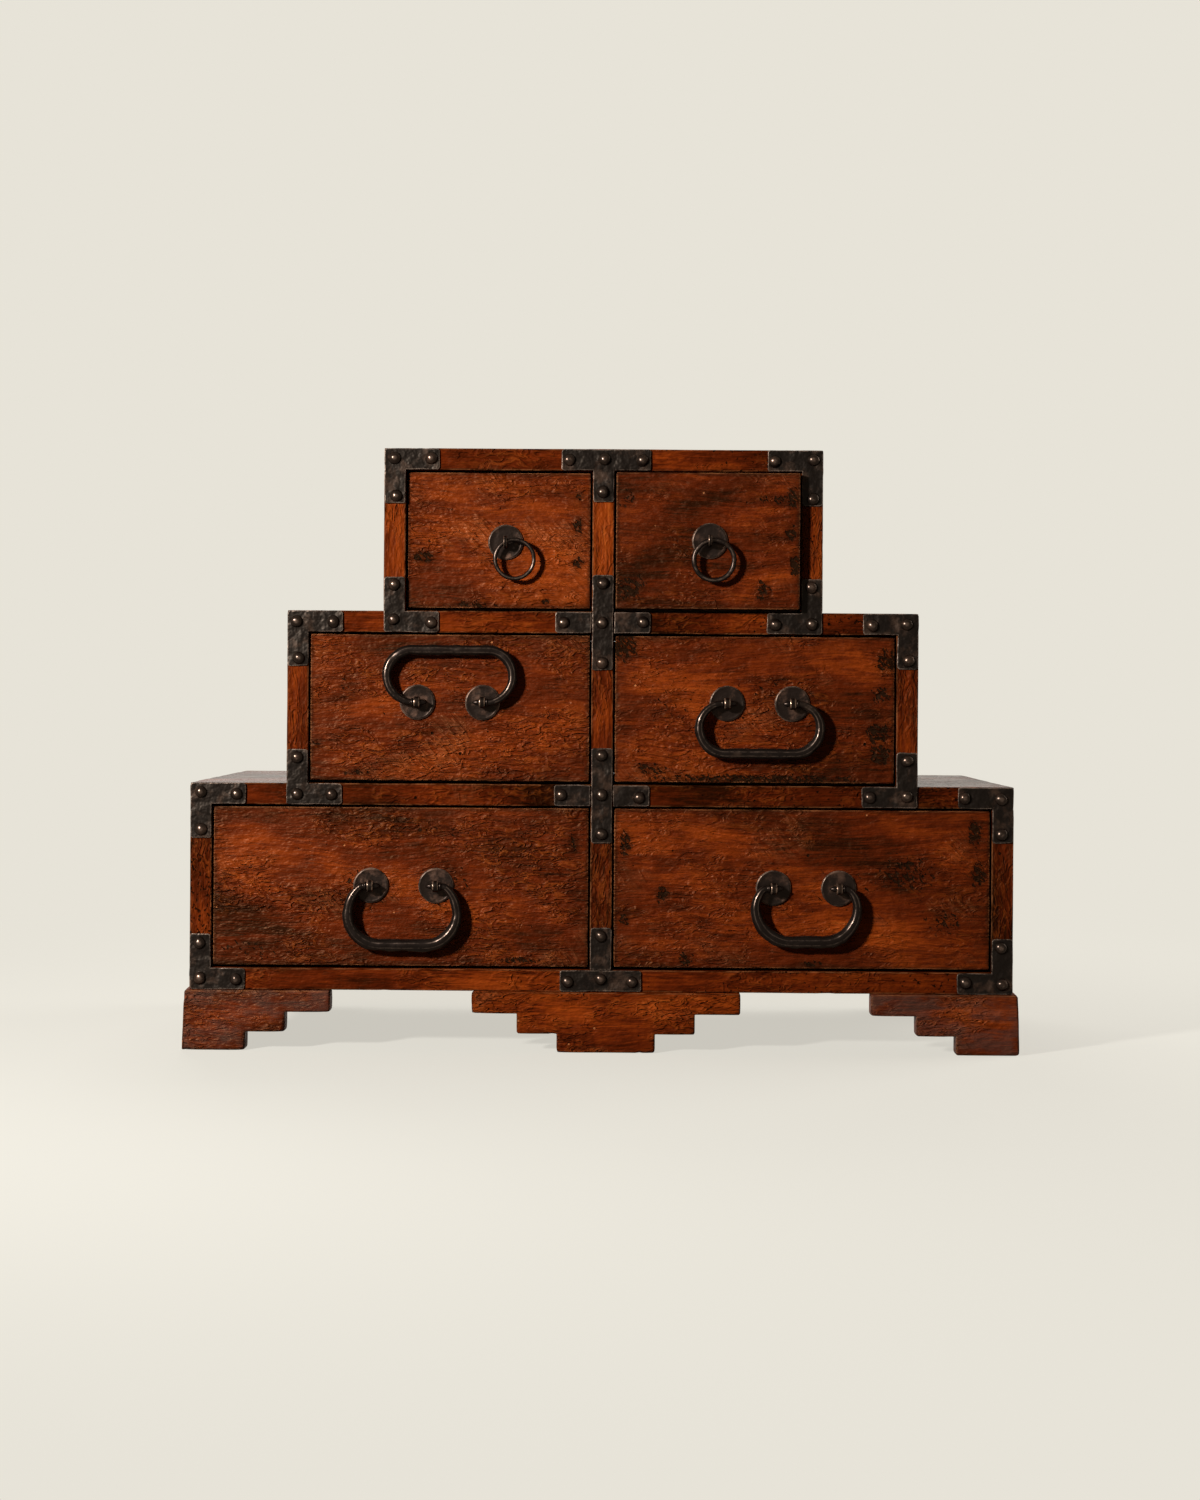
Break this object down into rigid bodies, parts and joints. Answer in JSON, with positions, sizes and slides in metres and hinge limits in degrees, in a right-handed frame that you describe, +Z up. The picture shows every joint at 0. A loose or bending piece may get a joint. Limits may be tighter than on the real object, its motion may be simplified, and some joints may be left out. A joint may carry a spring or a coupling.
{
  "type": "step chest",
  "caption": "Stepped wooden tabletop chest with side-by-side sliding drawers, nailed iron corner straps, swinging ring and bail pulls, and stepped bracket feet.",
  "frame": {"origin": "on the floor, under the middle of the whole object's box", "axes": "+X to the right along the chest's width, +Y from the drawer fronts to the back, +Z up"},
  "size_m": [0.607, 0.2788, 0.4395],
  "materials": {
    "case_wood": "worn wax over stain",
    "front_wood": "worn wax over stain",
    "foot_wood": "worn wax over stain",
    "box_wood": "bare, darkened by age",
    "strap_iron": "dark hand-forged, worn at the edges",
    "nail_iron": "dark hand-forged, worn at the edges",
    "pull_iron": "dark hand-forged, worn at the edges"
  },
  "bodies": {
    "case": {"base_board": "case_wood", "lower_tread": "case_wood", "upper_tread": "case_wood", "top_board": "case_wood", "back_panels": "box_wood", "front_feet": "foot_wood", "rear_feet": "foot_wood", "centre_foot": "foot_wood", "foot_blocks": "box_wood", "corner_straps": "strap_iron", "post_straps": "strap_iron", "strap_nails": "nail_iron", "lower_sides": "case_wood", "lower_partition": "case_wood", "middle_sides": "case_wood", "middle_partition": "case_wood", "upper_sides": "case_wood", "upper_partition": "case_wood"},
    "lower_left_drawer": {"lower_left_front": "front_wood", "lower_left_sides": "box_wood", "lower_left_back": "box_wood", "lower_left_bottom": "box_wood", "lower_left_rosettes": "pull_iron", "lower_left_pins": "pull_iron"},
    "lower_left_pull": {"lower_left_bail": "pull_iron"},
    "lower_right_drawer": {"lower_right_front": "front_wood", "lower_right_sides": "box_wood", "lower_right_back": "box_wood", "lower_right_bottom": "box_wood", "lower_right_rosettes": "pull_iron", "lower_right_pins": "pull_iron"},
    "lower_right_pull": {"lower_right_bail": "pull_iron"},
    "middle_left_drawer": {"middle_left_front": "front_wood", "middle_left_sides": "box_wood", "middle_left_back": "box_wood", "middle_left_bottom": "box_wood", "middle_left_rosettes": "pull_iron", "middle_left_pins": "pull_iron"},
    "middle_left_pull": {"middle_left_bail": "pull_iron"},
    "middle_right_drawer": {"middle_right_front": "front_wood", "middle_right_sides": "box_wood", "middle_right_back": "box_wood", "middle_right_bottom": "box_wood", "middle_right_rosettes": "pull_iron", "middle_right_pins": "pull_iron"},
    "middle_right_pull": {"middle_right_bail": "pull_iron"},
    "upper_left_drawer": {"upper_left_front": "front_wood", "upper_left_sides": "box_wood", "upper_left_back": "box_wood", "upper_left_bottom": "box_wood", "upper_left_rosettes": "pull_iron", "upper_left_pins": "pull_iron"},
    "upper_left_pull": {"upper_left_ring": "pull_iron"},
    "upper_right_drawer": {"upper_right_front": "front_wood", "upper_right_sides": "box_wood", "upper_right_back": "box_wood", "upper_right_bottom": "box_wood", "upper_right_rosettes": "pull_iron", "upper_right_pins": "pull_iron"},
    "upper_right_pull": {"upper_right_ring": "pull_iron"}
  },
  "joints": [
    {"name": "lower_left_slide", "type": "slide", "parent": "case", "child": "lower_left_drawer", "axis": [0, -1, 0], "range_m": [-0.004, 0.165]},
    {"name": "lower_left_swing", "type": "hinge", "parent": "lower_left_drawer", "child": "lower_left_pull", "pos_m": [-0.144, -0.12706, 0.1206], "axis": [-1, 0, 0], "range_deg": [-2.26, 182.26]},
    {"name": "lower_right_slide", "type": "slide", "parent": "case", "child": "lower_right_drawer", "axis": [0, -1, 0], "range_m": [-0.004, 0.165]},
    {"name": "lower_right_swing", "type": "hinge", "parent": "lower_right_drawer", "child": "lower_right_pull", "pos_m": [0.1492, -0.12706, 0.1206], "axis": [-1, 0, 0], "range_deg": [-2.49, 182.49]},
    {"name": "middle_left_slide", "type": "slide", "parent": "case", "child": "middle_left_drawer", "axis": [0, -1, 0], "range_m": [-0.004, 0.165]},
    {"name": "middle_left_swing", "type": "hinge", "parent": "middle_left_drawer", "child": "middle_left_pull", "pos_m": [-0.1109, -0.12706, 0.2543], "axis": [1, 0, 0], "range_deg": [0, 187.24]},
    {"name": "middle_right_slide", "type": "slide", "parent": "case", "child": "middle_right_drawer", "axis": [0, -1, 0], "range_m": [-0.004, 0.165]},
    {"name": "middle_right_swing", "type": "hinge", "parent": "middle_right_drawer", "child": "middle_right_pull", "pos_m": [0.1146, -0.12706, 0.2546], "axis": [-1, 0, 0], "range_deg": [-3.77, 183.77]},
    {"name": "upper_left_slide", "type": "slide", "parent": "case", "child": "upper_left_drawer", "axis": [0, -1, 0], "range_m": [-0.0015, 0.1675]},
    {"name": "upper_left_swing", "type": "hinge", "parent": "upper_left_drawer", "child": "upper_left_pull", "pos_m": [-0.0711, -0.1249, 0.37115], "axis": [-1, 0, 0], "range_deg": [-10.89, 190.89]},
    {"name": "upper_right_slide", "type": "slide", "parent": "case", "child": "upper_right_drawer", "axis": [0, -1, 0], "range_m": [-0.012, 0.157]},
    {"name": "upper_right_swing", "type": "hinge", "parent": "upper_right_drawer", "child": "upper_right_pull", "pos_m": [0.0774, -0.1351, 0.37235], "axis": [-1, 0, 0], "range_deg": [-8.83, 188.83]}
  ]
}
